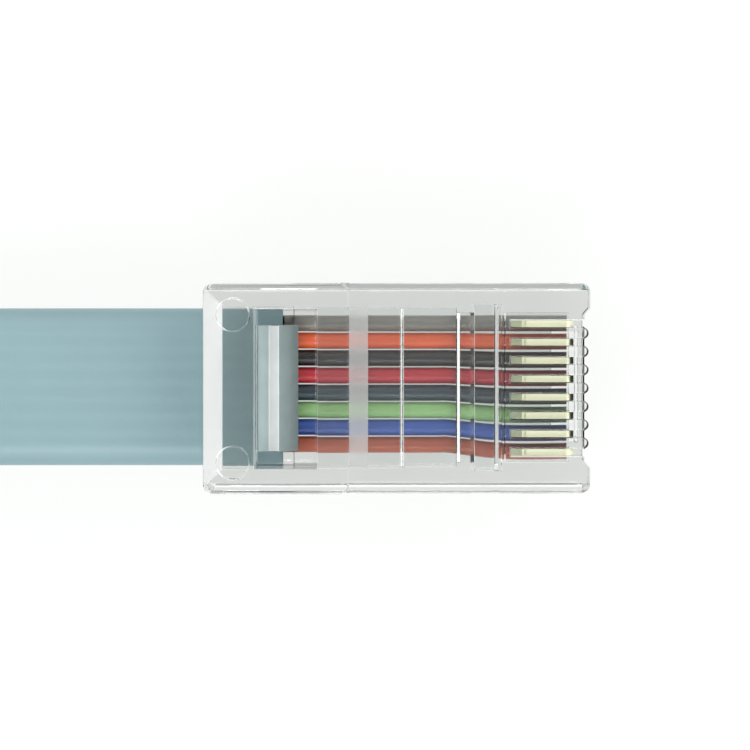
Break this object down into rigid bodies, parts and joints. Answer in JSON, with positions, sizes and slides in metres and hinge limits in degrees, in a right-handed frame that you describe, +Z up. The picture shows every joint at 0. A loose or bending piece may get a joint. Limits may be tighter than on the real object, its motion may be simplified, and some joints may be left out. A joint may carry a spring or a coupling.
{
  "type": "usb-c to rj45 console cable",
  "caption": "Flat console cable with a clear modular plug showing its coloured wires at one end and a USB-C plug at the other, coiled.",
  "frame": {"origin": "on the floor under the middle of the modular plug", "axes": "+X out of the modular plug's nose, +Y across its contacts towards contact 1, +Z up on the contact side"},
  "size_m": [0.1458, 0.1226, 0.0116],
  "materials": {
    "clear_polycarbonate": "clear polished polycarbonate with faint mould marks",
    "gold_contact": "thin gold plating",
    "wire_gray": "extruded insulation",
    "wire_orange": "extruded insulation",
    "wire_black": "extruded insulation",
    "wire_red": "extruded insulation",
    "wire_green": "extruded insulation",
    "wire_yellow": "extruded insulation",
    "wire_blue": "extruded insulation",
    "wire_brown": "extruded insulation",
    "cable_jacket": "satin extruded PVC jacket",
    "strap_fabric": "woven hook and loop strap",
    "overmould": "fine matte moulded PVC",
    "shell_steel": "nickel-plated steel",
    "insert_plastic": "moulded nylon"
  },
  "bodies": {
    "root": {"plug_housing": "clear_polycarbonate", "contact_1": "gold_contact", "contact_2": "gold_contact", "contact_3": "gold_contact", "contact_4": "gold_contact", "contact_5": "gold_contact", "contact_6": "gold_contact", "contact_7": "gold_contact", "contact_8": "gold_contact", "wire_gray": "wire_gray", "wire_orange": "wire_orange", "wire_black": "wire_black", "wire_red": "wire_red", "wire_green": "wire_green", "wire_yellow": "wire_yellow", "wire_blue": "wire_blue", "wire_brown": "wire_brown", "jacket_end": "cable_jacket", "cable_lead": "cable_jacket", "cable_coil": "cable_jacket", "cable_tail": "cable_jacket", "coil_strap": "strap_fabric", "usb_c_housing": "overmould", "usb_c_shell": "shell_steel", "usb_c_insert": "insert_plastic"}
  },
  "joints": []
}
